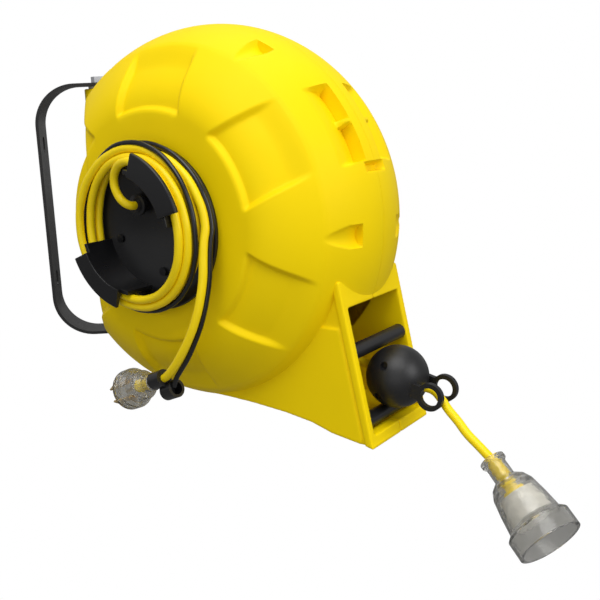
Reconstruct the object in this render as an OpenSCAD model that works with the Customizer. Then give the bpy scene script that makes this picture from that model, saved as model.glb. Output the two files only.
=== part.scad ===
// Spring-rewind extension cord reel on a swivelling wall bracket.
// Origin: centre of the bracket's wall face. +X leaves the wall, +Z is up.
// The reel is drawn in its own frame (hub axis along Y, cord mouth towards +X) and is
// then swung about the bracket's upright pivot by in_reel().

/* [Wall bracket] */
// Width of the flat bar
bar_w = 35; // [32:0.5:38]
// Thickness of the flat bar
bar_t = 3; // [2.5:0.5:3]
// Height over both arms
bracket_h = 252; // [252:1:256]
// Distance from the wall face to the pivot axis
pivot_x = 64; // [60:1:70]
// Angle the reel is turned away from straight ahead
swing = 38; // [0:1:40]

/* [Case] */
// Outer radius at the seam
rim_r = 170; // [169:0.5:171]
// How far the rim drops from the seam to the crease
crown = 18; // [17:0.5:19]
// Depth that the six side panels are sunk
panel_depth = 4; // [3:0.5:4]
// Width of each side panel
panel_w = 72; // [66:1:74]
// Wall thickness
wall = 3; // [2.5:0.25:3]

/* [Cord] */
// Diameter of the extension cord
cord_d = 7.4; // [7.2:0.1:7.6]
// Diameter of the supply lead
lead_d = 7.2; // [7:0.1:7.6]
// Diameter of the elastic cord that runs beside the supply lead
tie_d = 4.4; // [4:0.2:4.6]
// Diameter of the stop ball
ball_d = 54; // [50:1:54]
// Diameter of the two guide rollers
roller_d = 13; // [12:0.5:13]

/* [Node] */
// Which piece to draw

/* [Hidden] */
$fn = 64;
gap = 0.3;           // clearance between neighbouring pieces
run = 0.05;          // radial clearance of running fits
over = 1;            // how far a cut passes the face it opens

yellow = [1.0, 0.86, 0.0];
black = [0.09, 0.09, 0.1];
dark_grey = [0.25, 0.25, 0.27];
steel = [0.72, 0.73, 0.75];
brass = [0.83, 0.66, 0.3];
white = [0.93, 0.92, 0.88];
clear = [0.85, 0.88, 0.86, 0.4];
bronze = [0.62, 0.42, 0.22];

// wall bracket and pivot
bend_r = 40;                     // outer radius of the bar's two bends
slot_pitch = 136;                // wall slots, centre to centre
slot_w = 8.5;
slot_len = 16;
pin_r = 5;                       // shank radius of the pivot bolts
arm_z = bracket_h / 2 - bar_t;   // inner face of each arm
washer_t = 2;
lug_top = arm_z - washer_t - 2 * gap;
lug_low = 78;
lug_r = 16;
bush_r = 8;
nut_h = 7;

// reel frame: hub axis at the origin
pivot_back = 148;                // pivot axis behind the hub axis
crease_y = 61;
crease_r = rim_r - crown;
pad_r = 98;
pad_y = 94;
pad_root_y = 80;
rear_x = 128;                    // flat back of the case
rear_y = 38;
screw_angles = [-3, 62, 118, -118];
screw_r = rim_r - 14;
scoop_tip_y = 62;
scoop_wall_y = 28;
scoop_r = 10;

// mouth
nose_y = 48;
frame_y = 51;
frame_depth = 15;
mouth_y = 42;
mouth_top = -67;
mouth_low = -172.5;
nose_top = [154, -44];
nose_toe = [183, -183];
nose_heel = [45, -159];

// carry grip
grip_angle = 29.5;
grip_half = 36;
grip_bar_y = 12;
grip_edge_y = 42;
grip_depth = 18;

// cord line: from the winding to the stop ball
ball_r = ball_d / 2;
cord_r = cord_d / 2;
ball_x = 180;
ball_z = -133;
strand_r = 87;                   // radius at which the cord leaves the winding
ball_reach = norm([ball_x, ball_z]);
cord_angle = atan2(-ball_z, ball_x) - asin(strand_r / ball_reach);
strand_len = sqrt(pow(ball_reach, 2) - pow(strand_r, 2));
eye_x = 38.5;                    // eyelet centres ahead of the ball's centre
eye_y = 14;
eye_t = 4.5;
eye_hole_r = 8;
eye_r = 11.8;
ball_screw_at = [-4, 14];        // screws of the ball: along the cord, to either side of it

roller_r = roller_d / 2;
roller_pin_r = 3;
roller_spots = [[159.3, -105], [167.5, -165]];

// spool
spindle_r = 8;
flange_r = 114;
flange_y = 41;
flange_t = 3;
core_r = 50;
wound_r = strand_r - cord_r - 0.7;
half_layer_r = strand_r + cord_r;
drum_r = 63;
drum_y = 76;
slip_r = 36;
ratchet_r = 76;
ratchet_w = 7;
teeth = 18;
tooth = 6;

// ratchet pawl and its pin, held in a blind boss of the near half
pawl_angle = 75;
pawl_r = ratchet_r + 26;
pawl_pin_r = 3;
pawl_pin_end = 6 - pad_y;
pawl_boss_r = 7;
pawl_boss_y = -66;

// slip rings and the brushes that press on them
brush_angle = 112;
slip_y = [-52, -59, -66];

// mainspring
spring_turns = 8;
spring_steps = 16;
spring_in = 17;
spring_out = drum_r - 6;
spring_t = 1.4;

// hub with the lead wound on it
hub_r = 70.5;
hub_y = pad_y + 4;
hub_wall_r = 53;
hub_screw_angle = 106;
hub_screw_r = 38;                // pitch radius of the hub's screws
hook_t = 3;
hooks = [[44, 69.5, 139.5], [-131, 66, 131.5]];  // angle, lip radius, lip distance from seam
hook_half = 36;                  // half angle of a hook's wall
lip_half = 27;                   // half angle of its lip
gland = [-8, 20];
gland_r = 6;
gland_end = 107;                 // where the lead leaves the gland, from the seam
lead_r = lead_d / 2;
turn_low = [57, 122.8];          // innermost turn: radius, distance from the seam
turn_high = [69.5, 109];         // outermost turn

// where the supply plug hangs, in the reel frame
plug_at = [7.3, -117, -129.2];
plug_tilt = [0, 111.7, 172];

// where the cord runs from the ball's front, which is the route's origin, to the socket
ball_front = [
    ball_x + ball_r * cos(cord_angle), 0, ball_z - ball_r * sin(cord_angle)
];
out_route = [
    [0, 0, 0], [8, 0, -2], [16, -3, -7], [24.5, -8, -13], [35.5, -13.5, -19.5],
    [46.5, -19, -27], [58, -22.5, -34], [70, -25.5, -42]
];
socket_at = ball_front + out_route[7];
socket_tilt = [0, 125, -25.3];
socket_len = 77;
shroud_r = 26;
face_z = 56;                     // contact face, from the cord's end of the socket
insert_z = 35;
insert_r = 17.6;
socket_screw_r = 2;
blade_r = 7.9;                   // distance of the two slanted blades from the axis
earth_r = 10.3;                  // distance of the earth blade's middle from the axis

// supply plug
blade_l = 6.3;
blade_w = 1.6;
blade_z = [26, 57];
clip_barrel = [11.5, -5.4, -21]; // second barrel of the clip: centre and outer end

// where the supply lead's two loose stretches run, in the reel frame
start_route = [
    [-8, -107, 20], [-8.5, -111.5, 20.5], [-12.5, -115, 23.5], [-18, -116.5, 31],
    [-20, -117, 41], [-15, -118.5, 51], [-4, -121, 57], [10, -123, 57]
];
tail_route = [
    [69.5, -109.5, 6], [69.6, -112.5, -6], [69.7, -114.5, -18], [69.8, -116.5, -34],
    [67.8, -119, -51], [63.2, -121, -68], [55.5, -122.3, -85], [45, -122.5, -101],
    [35, -121.7, -113], [27, -120.3, -120.5], [18, -118.5, -125.5], [7.3, -117, -129.2]
];
tie_route = [
    [72, -104.3, 5], [72.2, -107.3, -7], [72.3, -109.5, -19], [72.4, -111.5, -35],
    [70.2, -114, -52.5], [65.6, -116, -70.5], [58, -117.5, -88], [48.5, -118, -104],
    [40, -117.8, -115], [34, -117.5, -123], [31, -117.5, -130]
];

// ---- frames and shared shapes -------------------------------------------------

module in_reel() {
    translate([pivot_x, 0, 0])
        rotate([0, 0, -swing])
            translate([pivot_back, 0, 0])
                children();
}

// Turns +X to the given angle above the horizontal about the hub axis.
module at_angle(angle) {
    rotate([0, -angle, 0])
        children();
}

// Frame of the cord line: origin at the ball's centre, +X outwards along the cord.
module on_cord_line() {
    translate([ball_x, 0, ball_z])
        at_angle(-cord_angle)
            children();
}

module in_socket() {
    translate(socket_at)
        rotate(socket_tilt)
            children();
}

module in_plug() {
    translate(plug_at)
        rotate(plug_tilt)
            children();
}

// Cylinder along Y between two Y positions.
module y_rod(r, y0, y1) {
    translate([0, y1, 0])
        rotate([90, 0, 0])
            cylinder(r = r, h = y1 - y0);
}

module y_ring(r_in, r_out, y0, y1) {
    difference() {
        y_rod(r_out, y0, y1);
        y_rod(r_in, y0 - over, y1 + over);
    }
}

// Turns a profile of [radius, distance to the near side] about the hub axis.
module y_turn(points, from = 0, to = 360) {
    at_angle(from)
        rotate([90, 0, 0])
            rotate_extrude(angle = to - from)
                polygon(points);
}

module z_turn(points) {
    rotate_extrude()
        polygon(points);
}

module x_rod(r, x0, x1) {
    translate([x0, 0, 0])
        rotate([0, 90, 0])
            cylinder(r = r, h = x1 - x0);
}

// ---- tube swept along a route -------------------------------------------------

tube_sides = 10;
tube_steps = 3;

function mix(a, b, t) = a + (b - a) * t;

// Smooth curve through the route's points (Catmull-Rom).
function route_point(p, i, t) =
    let (
        a = p[max(i - 1, 0)],
        b = p[i],
        c = p[min(i + 1, len(p) - 1)],
        d = p[min(i + 2, len(p) - 1)]
    )
    0.5 * (2 * b + (c - a) * t + (2 * a - 5 * b + 4 * c - d) * t * t
        + (3 * b - a - 3 * c + d) * t * t * t);

function smooth(p) = concat(
    [for (i = [0 : len(p) - 2]) for (k = [0 : tube_steps - 1]) route_point(p, i, k / tube_steps)],
    [p[len(p) - 1]]
);

function unit(v) = v / norm(v);

function tangents(q) = [
    for (i = [0 : len(q) - 1])
        unit(q[min(i + 1, len(q) - 1)] - q[max(i - 1, 0)])
];

// Carries a side vector along the tangents without twisting it.
function sides(t, i = 0, s = undef) =
    let (
        base = is_undef(s) ? unit(cross(t[0], [0.1, 0.2, 1])) : s,
        here = unit(base - (base * t[i]) * t[i])
    )
    i == len(t) - 1 ? [here] : concat([here], sides(t, i + 1, here));

module tube(route, r) {
    q = smooth(route);
    t = tangents(q);
    s = sides(t);
    n = len(q);
    points = [
        for (i = [0 : n - 1]) for (k = [0 : tube_sides - 1])
            let (a = 360 * k / tube_sides)
            q[i] + r * (cos(a) * s[i] + sin(a) * cross(t[i], s[i]))
    ];
    walls = [
        for (i = [0 : n - 2]) for (k = [0 : tube_sides - 1])
            let (
                a = i * tube_sides + k,
                b = i * tube_sides + (k + 1) % tube_sides
            )
            each [[a, a + tube_sides, b + tube_sides], [a, b + tube_sides, b]]
    ];
    first = [for (k = [0 : tube_sides - 1]) k];
    last = [for (k = [tube_sides - 1 : -1 : 0]) (n - 1) * tube_sides + k];
    polyhedron(points, concat(walls, [first, last]));
}

// ---- wall bracket (stays on the wall) -----------------------------------------

module bracket_bend(side) {
    straight = bracket_h / 2 - bend_r;
    translate([bend_r, 0, side * straight])
        rotate([90, 0, 0])
            linear_extrude(bar_w, center = true)
                intersection() {
                    difference() {
                        circle(bend_r);
                        circle(bend_r - bar_t);
                    }
                    translate([-bend_r, side > 0 ? 0 : -bend_r])
                        square(bend_r);
                }
}

module bracket_arm(side) {
    translate([0, 0, side > 0 ? arm_z : -bracket_h / 2])
        difference() {
            union() {
                translate([bend_r, -bar_w / 2, 0])
                    cube([pivot_x - bend_r, bar_w, bar_t]);
                translate([pivot_x, 0, 0])
                    cylinder(r = bar_w / 2, h = bar_t);
            }
            translate([pivot_x, 0, -over])
                cylinder(r = pin_r, h = bar_t + 2 * over);
        }
}

module wall_slot() {
    for (z = [-1, 1])
        translate([-over, 0, z * (slot_len - slot_w) / 2])
            rotate([0, 90, 0])
                cylinder(d = slot_w, h = bar_t + 2 * over);
    translate([-over, -slot_w / 2, -(slot_len - slot_w) / 2])
        cube([bar_t + 2 * over, slot_w, slot_len - slot_w]);
}

module wall_bracket() {
    straight = bracket_h / 2 - bend_r;
    color(black)
        union() {
            difference() {
                translate([0, -bar_w / 2, -straight])
                    cube([bar_t, bar_w, 2 * straight]);
                for (side = [-1, 1])
                    translate([0, 0, side * slot_pitch / 2])
                        wall_slot();
            }
            for (side = [-1, 1]) {
                bracket_bend(side);
                bracket_arm(side);
            }
        }
}

// Draws its child for the upper arm and again, turned over, for the lower arm.
module at_both_arms() {
    translate([pivot_x, 0, 0])
        for (turn = [0, 180])
            rotate([turn, 0, 0])
                children();
}

bolt_end = lug_low - 2 * gap - washer_t - nut_h - 3;

module pivot_bolts() {
    color(steel)
        at_both_arms() {
            translate([0, 0, bracket_h / 2])
                cylinder(r = 9, h = 6, $fn = 6);
            translate([0, 0, bolt_end])
                cylinder(r = pin_r, h = bracket_h / 2 - bolt_end + 0.5);
        }
}

module pivot_washers() {
    color(white)
        at_both_arms()
            for (z = [arm_z - washer_t - gap, lug_low - gap - washer_t])
                translate([0, 0, z])
                    difference() {
                        cylinder(r = 12, h = washer_t);
                        translate([0, 0, -over])
                            cylinder(r = pin_r, h = washer_t + 2 * over);
                    }
}

module pivot_nuts() {
    color(steel)
        at_both_arms()
            translate([0, 0, lug_low - 2 * gap - washer_t - nut_h])
                difference() {
                    cylinder(r = 9, h = nut_h, $fn = 6);
                    translate([0, 0, -over])
                        cylinder(r = pin_r, h = nut_h + 2 * over);
                }
}

// ---- case ---------------------------------------------------------------------

function crown_r(y) = rim_r - crown * pow(y / crease_y, 2);

function crown_tilt(y) = atan(2 * crown * y / pow(crease_y, 2));

dome_rise = pad_y - crease_y;
dome_run = crease_r - pad_r;

function dome_point(t) = [crease_r - dome_run * t, crease_y + dome_rise * sin(90 * t)];

function dome_tilt(t) = atan2(dome_run, dome_rise * PI / 2 * cos(90 * t));

function moved_in(p, tilt, inset) = p - inset * [cos(tilt), sin(tilt)];

// Half of the case's turned outline, moved in by inset, from the seam to the hub axis.
function half_outline(inset) = concat(
    [for (k = [0 : 2])
        let (y = k * 0.36 * crease_y)
        moved_in([crown_r(y), y], crown_tilt(y), inset)],
    [moved_in([crease_r, crease_y], (crown_tilt(crease_y) + dome_tilt(0)) / 2, inset)],
    [for (k = [1 : 4]) moved_in(dome_point(k / 4), dome_tilt(k / 4), inset)],
    [[0, pad_y - inset]]
);

function whole_outline(inset) =
    let (h = half_outline(inset), n = len(h))
    concat(
        [for (i = [n - 1 : -1 : 1]) [h[i][0], -h[i][1]]],
        h
    );

module turned_case(inset) {
    y_turn(whole_outline(inset));
}

// Everything ahead of the flat back and its two chamfers.
module rear_limit(inset) {
    back = inset - rear_x;
    translate([0, 0, -2 * rim_r])
        linear_extrude(4 * rim_r)
            polygon([
                [back, rear_y - inset / 2], [-75 + inset, 95 - inset / 2],
                [-75 + inset, 2 * pad_y], [2 * rim_r, 2 * pad_y],
                [2 * rim_r, -2 * pad_y], [-75 + inset, -2 * pad_y],
                [-75 + inset, inset / 2 - 95], [back, inset / 2 - rear_y]
            ]);
}

module panels(grow) {
    half = panel_w / 2 + grow;
    for (k = [0 : 5])
        at_angle(30 + 60 * k)
            difference() {
                translate([pad_r / 2, -2 * pad_y, -half])
                    cube([crease_r - 6 - pad_r / 2 + grow, 4 * pad_y, 2 * half]);
                y_rod(pad_r - grow, -3 * pad_y, 3 * pad_y);
            }
}

module scoops(grow) {
    for (angle = screw_angles) for (side = [0, 180])
        at_angle(angle)
            translate([rim_r - 4, 0, 0])
                rotate([90, 0, side])
                    translate([0, 0, scoop_wall_y - grow])
                        cylinder(
                            r1 = scoop_r + grow, r2 = 1 + grow,
                            h = scoop_tip_y - scoop_wall_y + 2 * grow
                        );
}

// Finger pockets on both sides of the bar that is left as a carry grip.
module grip_pockets(grow) {
    rib_half = grow > 0 ? 0 : 2;
    at_angle(grip_angle)
        for (side = [0, 1]) for (end = [0, 1])
            mirror([0, side, 0])
                mirror([0, 0, end])
                    translate([0, 0, rib_half])
                        linear_extrude(grip_half + grow - rib_half)
                            polygon([
                                [rim_r - grip_depth - grow, grip_bar_y - grow],
                                [rim_r - grip_depth - grow, grip_bar_y + 7 + grow / 2],
                                [crown_r(grip_edge_y) - grow, grip_edge_y + grow],
                                [rim_r + 40, grip_edge_y + grow],
                                [rim_r + 40, grip_bar_y - grow]
                            ]);
}

module nose(inset) {
    rotate([90, 0, 0])
        linear_extrude(2 * (nose_y - inset), center = true)
            polygon([
                nose_top - [inset, 0], nose_toe + [-inset, inset],
                nose_heel + [0, inset], [0, -120 + inset], [60, -40]
            ]);
}

module mouth_frame() {
    rotate([90, 0, 0])
        linear_extrude(2 * frame_y, center = true)
            polygon([
                nose_top, nose_toe, nose_toe - [frame_depth, -3],
                nose_top - [frame_depth, -3]
            ]);
}

module mouth_cut() {
    translate([120, -mouth_y, mouth_low])
        cube([100, 2 * mouth_y, mouth_top - mouth_low]);
}

// Round pads that stand past the chamfers on both sides.
module hub_pads(inset) {
    for (side = [0, 180])
        rotate([0, 0, side])
            y_rod(pad_r - inset, pad_root_y + inset, pad_y - inset);
}

module case_volume(inset) {
    difference() {
        union() {
            intersection() {
                union() {
                    difference() {
                        turned_case(inset);
                        panels(inset);
                    }
                    turned_case(inset + panel_depth);
                }
                rear_limit(inset);
            }
            hub_pads(inset);
            nose(inset);
        }
        scoops(inset);
        grip_pockets(inset);
    }
}

module pivot_lugs() {
    for (side = [-1, 1])
        translate([-pivot_back, 0, side * (lug_top + lug_low) / 2])
            difference() {
                union() {
                    cylinder(r = lug_r, h = lug_top - lug_low, center = true);
                    translate([15, 0, 0])
                        cube([30, 2 * lug_r, lug_top - lug_low], center = true);
                }
                cylinder(r = bush_r, h = lug_top, center = true);
            }
}

module screw_bosses() {
    for (angle = screw_angles)
        at_angle(angle)
            translate([screw_r - 4, 0, 0])
                y_ring(2.5, 7, -scoop_wall_y + 1, scoop_wall_y - 1);
}

module spindle_bosses() {
    for (side = [0, 180])
        rotate([0, 0, side])
            y_ring(spindle_r, 15, pad_y - 20, pad_y - wall + 0.5);
}

module case_shell() {
    difference() {
        union() {
            difference() {
                case_volume(0);
                case_volume(wall);
            }
            difference() {
                mouth_frame();
                mouth_cut();
            }
            pivot_lugs();
            screw_bosses();
            spindle_bosses();
        }
        mouth_cut();
        for (spot = roller_spots)
            translate([spot[0], 0, spot[1]])
                y_rod(roller_pin_r, -46.5, 46.5);
    }
}

module case_near() {
    color(yellow)
        in_reel()
            difference() {
                union() {
                    intersection() {
                        case_shell();
                        translate([-250, -200, -250])
                            cube([500, 200, 500]);
                    }
                    pawl_spot()
                        y_rod(pawl_boss_r, pawl_pin_end - 0.5, pawl_boss_y);
                }
                translate([gland[0], 0, gland[1]])
                    y_rod(gland_r, -pad_y - over, -pad_y + wall + over);
                at_hub_screws()
                    y_rod(2, -pad_y - over, -pad_y + wall + over);
                pawl_spot()
                    y_rod(pawl_pin_r, pawl_pin_end, pawl_boss_y + over);
            }
}

module case_far() {
    color(yellow)
        in_reel()
            intersection() {
                case_shell();
                translate([-250, 0, -250])
                    cube([500, 200, 500]);
            }
}

module case_screws() {
    color(steel)
        in_reel()
            for (angle = screw_angles)
                at_angle(angle)
                    translate([screw_r - 4, 0, 0]) {
                        y_rod(2.5, -scoop_wall_y - 1, 20);
                        y_rod(4.5, -scoop_wall_y - 4, -scoop_wall_y + 1);
                    }
}

module pivot_bushes() {
    color(white)
        at_both_arms()
            translate([0, 0, lug_low])
                difference() {
                    cylinder(r = bush_r, h = lug_top - lug_low);
                    translate([0, 0, -over])
                        cylinder(r = pin_r + run, h = lug_top - lug_low + 2 * over);
                }
}

// ---- fixed pieces inside the case ---------------------------------------------

module spindle() {
    color(steel)
        in_reel()
            y_rod(spindle_r, wall - pad_y, pad_y - wall);
}

module spring_arbor() {
    color(steel)
        in_reel()
            difference() {
                y_ring(spindle_r, 13, flange_y + 8, drum_y - 3);
                translate([12, flange_y, -1])
                    cube([4, drum_y - flange_y, 2]);
            }
}

module pawl_spot() {
    at_angle(pawl_angle)
        translate([pawl_r, 0, 0])
            children();
}

module pawl_pin() {
    color(steel)
        in_reel()
            pawl_spot()
                y_rod(pawl_pin_r, pawl_pin_end, -flange_y - flange_t - 2);
}

// Leaf spring behind the pawl, screwed to the near half.
module pawl_spring() {
    color(steel)
        in_reel()
            pawl_spot()
                translate([9.5, -pad_y + 14, -10])
                    cube([0.8, 34, 26]);
}

module brush_slots() {
    for (y = slip_y)
        translate([43, y - 2.7, -2.2])
            cube([16.5, 5.4, 4.4]);
}

module brush_block() {
    color(dark_grey)
        in_reel()
            at_angle(brush_angle)
                difference() {
                    union() {
                        translate([17, -pad_y + wall + gap, -14])
                            cube([46, 12, 28]);
                        translate([44, -pad_y + wall + gap, -12])
                            cube([18, 43, 24]);
                    }
                    brush_slots();
                }
}

module brushes() {
    color(black)
        in_reel()
            at_angle(brush_angle)
                for (y = slip_y)
                    translate([slip_r + 0.2, y - 2.5, -2])
                        cube([16, 5, 4]);
}

module brush_springs() {
    color(steel)
        in_reel()
            at_angle(brush_angle)
                for (y = slip_y) for (k = [0 : 2])
                    translate([53 + 2 * k, y, 0])
                        rotate([0, 90, 0])
                            rotate_extrude()
                                translate([1.3, 0])
                                    circle(0.4, $fn = 12);
}

module roller_pins() {
    color(steel)
        in_reel()
            for (spot = roller_spots)
                translate([spot[0], 0, spot[1]])
                    y_rod(roller_pin_r, -46.5, 46.5);
}

// ---- guide rollers ------------------------------------------------------------

module roller(spot) {
    color(dark_grey)
        in_reel()
            translate([spot[0], 0, spot[1]])
                y_ring(roller_pin_r + run, roller_r, 0.5 - mouth_y, mouth_y - 0.5);
}

module roller_upper() {
    roller(roller_spots[0]);
}

module roller_lower() {
    roller(roller_spots[1]);
}

// ---- cord wrap on the hub -----------------------------------------------------

module at_hub_screws() {
    for (k = [0 : 3])
        at_angle(hub_screw_angle + 90 * k)
            translate([hub_screw_r, 0, 0])
                children();
}

module hub_cup() {
    color(black)
        in_reel()
            difference() {
                union() {
                    y_turn([
                        [0, pad_y + gap], [hub_r, pad_y + gap], [hub_r, hub_y],
                        [49, hub_y], [47, hub_y - 1], [30, hub_y - 1],
                        [28, hub_y - 2], [0, hub_y - 2]
                    ]);
                    for (hook = hooks)
                        hub_hook(hook);
                    translate([gland[0], 0, gland[1]])
                        y_ring(gland_r, 2 * gland_r, -hub_y - 4, -pad_y - gap);
                }
                translate([gland[0], 0, gland[1]])
                    y_rod(gland_r, -2 * hub_y, 0);
                at_hub_screws()
                    y_rod(2, -2 * hub_y, 0);
            }
}

// Curved wall with an outward lip that keeps the lead on the hub.
module hub_hook(hook) {
    inner_r = hub_wall_r - hook_t;
    top = hook[2];
    wall_top = top - 1;
    lip_root = hub_wall_r - hook_t / 2;
    y_turn([
        [inner_r, hub_y - 1], [hub_wall_r, hub_y - 1],
        [hub_wall_r, wall_top], [inner_r, wall_top]
    ], hook[0] - hook_half, hook[0] + hook_half);
    y_turn([
        [lip_root, top - 4.5], [hook[1], top - 3.5], [hook[1], top], [lip_root, top]
    ], hook[0] - lip_half, hook[0] + lip_half);
}

module hub_screws() {
    color(steel)
        in_reel()
            at_hub_screws() {
                y_rod(2, -hub_y + 1, -pad_y + wall);
                y_rod(3.6, -hub_y - 1.4, -hub_y + 1);
            }
}

module lead_gland() {
    color(black)
        in_reel()
            translate([gland[0], 0, gland[1]])
                rotate([90, 0, 0])
                    z_turn([
                        [lead_r, pad_y - wall], [gland_r, pad_y - wall],
                        [gland_r, hub_y + 4], [1.5 * gland_r, hub_y + 4],
                        [1.5 * gland_r, hub_y + 7], [gland_r + 0.4, hub_y + 7],
                        [gland_r - 1, gland_end], [lead_r, gland_end]
                    ]);
}

// ---- spool --------------------------------------------------------------------

module spool_flange(side) {
    rotate([0, 0, side > 0 ? 180 : 0])
        difference() {
            union() {
                y_ring(12, flange_r, -flange_y - flange_t, -flange_y);
                y_ring(12, 18, -flange_y - flange_t - 3, 5 - flange_y);
                y_ring(core_r - 6, core_r - 3, -flange_y, 3 - flange_y);
            }
            at_spool_bolts()
                y_rod(2.5, -2 * flange_y, 0);
            for (k = [0 : 5])
                at_angle(60 * k)
                    translate([88, 0, 0])
                        y_rod(9, -2 * flange_y, 0);
        }
}

module at_spool_bolts() {
    for (k = [0 : 2])
        at_angle(120 * k)
            translate([25, 0, 0])
                children();
}

module spool_near() {
    color(dark_grey)
        in_reel()
            spool_flange(-1);
}

module spool_far() {
    color(dark_grey)
        in_reel()
            spool_flange(1);
}

module spool_core() {
    color(dark_grey)
        in_reel()
            y_ring(core_r - 3, core_r, -flange_y, flange_y);
}

module spool_bushes() {
    color(bronze)
        in_reel()
            for (side = [0, 180])
                rotate([0, 0, side])
                    y_ring(spindle_r + run, 12, -flange_y - flange_t - 3, 5 - flange_y);
}

module spool_bolts() {
    color(steel)
        in_reel()
            at_spool_bolts()
                y_rod(2.5, -flange_y - flange_t, flange_y + flange_t);
}

// The stored cord: full layers, and a top layer that ends where the strand leaves.
module wound_cord() {
    low = flange_y - 0.5;
    step = cord_r + 0.8;
    color(yellow)
        in_reel()
            y_turn([
                [core_r + 0.2, -low], [wound_r, -low], [wound_r, step],
                [half_layer_r, step], [half_layer_r, low], [core_r + 0.2, low]
            ]);
}

function on_circle(r, angle) = [r * cos(angle), r * sin(angle)];

// Saw teeth everywhere but in front of the pawl.
module ratchet_ring() {
    root = ratchet_r - tooth;
    pitch = 360 / teeth;
    outline = [
        for (k = [0 : teeth - 1])
            let (a = pawl_angle + pitch * k)
            each k < 3 || k > 15
                ? [on_circle(root, a)]
                : [on_circle(root, a), on_circle(ratchet_r, a), on_circle(root, a + pitch / 2)]
    ];
    color(dark_grey)
        in_reel()
            translate([0, -flange_y - flange_t, 0])
                rotate([90, 0, 0])
                    linear_extrude(ratchet_w)
                        difference() {
                            polygon(outline);
                            circle(root - 6);
                        }
}

module spring_drum() {
    color(steel)
        in_reel()
            union() {
                y_ring(drum_r - 2, drum_r, flange_y + flange_t, drum_y);
                y_ring(20, drum_r - 2, flange_y + flange_t, flange_y + flange_t + 2);
            }
}

module drum_cover() {
    color(steel)
        in_reel()
            y_ring(17, drum_r, drum_y, drum_y + 1.5);
}

function spiral(k, offset) =
    let (
        t = k / (spring_turns * spring_steps),
        r = mix(spring_in, spring_out, t) + offset,
        a = 360 * k / spring_steps
    )
    [r * cos(a), r * sin(a)];

module mainspring() {
    last = spring_turns * spring_steps;
    color(steel)
        in_reel()
            translate([0, drum_y - 3, 0])
                rotate([90, 0, 0])
                    linear_extrude(drum_y - flange_y - flange_t - 8)
                        polygon(concat(
                            [for (k = [0 : last]) spiral(k, spring_t)],
                            [for (k = [last : -1 : 0]) spiral(k, 0)]
                        ));
}

module slip_drum() {
    color(white)
        in_reel()
            y_ring(18.5, slip_r - 2, min(slip_y) - 5, -flange_y - flange_t);
}

module slip_rings() {
    color(brass)
        in_reel()
            for (y = slip_y)
                y_ring(slip_r - 2, slip_r, y - 2.6, y + 2.6);
}

// ---- ratchet pawl -------------------------------------------------------------

module ratchet_pawl() {
    low = flange_y + flange_t + 2.4;
    color(dark_grey)
        in_reel()
            pawl_spot()
                difference() {
                    union() {
                        y_rod(7, -low - 6, -low);
                        translate([-23, -low - 6, -5])
                            cube([20, 6, 10]);
                    }
                    y_rod(pawl_pin_r + run, -2 * low, 0);
                }
}

// ---- the extension cord's inner strand and stop ball ---------------------------

module cord_run() {
    color(yellow)
        in_reel()
            on_cord_line()
                x_rod(cord_r, -strand_len, ball_r);
}

// Half of the stop ball on the near side, with its eyelet.
module ball_half() {
    difference() {
        union() {
            intersection() {
                sphere(ball_r);
                translate([-ball_r, -2 * ball_r, -ball_r])
                    cube([2 * ball_r, 2 * ball_r, 2 * ball_r]);
            }
            translate([ball_r - 7, -eye_y - eye_t / 2, -6])
                cube([eye_x - ball_r, eye_t, 12]);
            translate([eye_x, 0, 0])
                y_rod(eye_r, -eye_y - eye_t / 2, -eye_y + eye_t / 2);
        }
        translate([eye_x, 0, 0])
            y_rod(eye_hole_r, -2 * eye_y, 0);
        x_rod(cord_r, -2 * ball_r, 2 * ball_r);
        at_ball_screws()
            y_rod(1.8, -ball_r, ball_r);
        at_ball_screws()
            y_rod(3.4, -2 * ball_r, -ball_r + 10);
    }
}

module at_ball_screws() {
    for (side = [-1, 1])
        translate([ball_screw_at[0], 0, side * ball_screw_at[1]])
            children();
}

module ball_near() {
    color(black)
        in_reel()
            on_cord_line()
                ball_half();
}

module ball_far() {
    color(black)
        in_reel()
            on_cord_line()
                rotate([180, 0, 0])
                    ball_half();
}

module ball_screws() {
    color(steel)
        in_reel()
            on_cord_line()
                at_ball_screws() {
                    y_rod(1.8, -ball_r + 8, ball_r - 12);
                    y_rod(3.2, -ball_r + 8, -ball_r + 10);
                }
}

module out_cord() {
    color(yellow)
        in_reel()
            translate(ball_front)
                tube(out_route, cord_r);
}

// ---- clear socket -------------------------------------------------------------

module socket_body() {
    neck = cord_r + 2.5;
    inner_r = shroud_r - 3;
    color(clear)
        in_reel()
            in_socket()
                z_turn([
                    [neck, 0], [10.5, 0], [10.5, 3], [8.5, 5], [8.5, 18],
                    [14.5, 23], [17.5, 29], [19.8, 42], [21.8, face_z + 2],
                    [shroud_r, face_z + 6], [shroud_r, socket_len],
                    [inner_r, socket_len], [inner_r, face_z + 7],
                    [19.6, face_z + 2.5], [17.9, 45], [15.6, 33], [12.2, 26.5],
                    [neck, 21]
                ]);
}

module socket_slots(depth, w = 1.8, l = 7) {
    for (angle = [60, -60])
        rotate([0, 0, angle])
            translate([-l / 2, blade_r - w / 2, face_z - depth])
                cube([l, w, depth + over]);
    translate([-w / 2, -earth_r - l / 2, face_z - depth])
        cube([w, l, depth + over]);
}

module socket_insert() {
    color(white)
        in_reel()
            in_socket()
                difference() {
                    translate([0, 0, insert_z])
                        cylinder(r1 = 14.8, r2 = insert_r, h = 10);
                    translate([0, 0, insert_z - over])
                        cylinder(r = socket_screw_r, h = 20);
                }
    color(white)
        in_reel()
            in_socket()
                difference() {
                    translate([0, 0, insert_z + 10])
                        cylinder(r = insert_r, h = face_z - insert_z - 10);
                    socket_slots(9);
                    translate([0, 0, insert_z])
                        cylinder(r = socket_screw_r, h = 30);
                }
}

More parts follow.
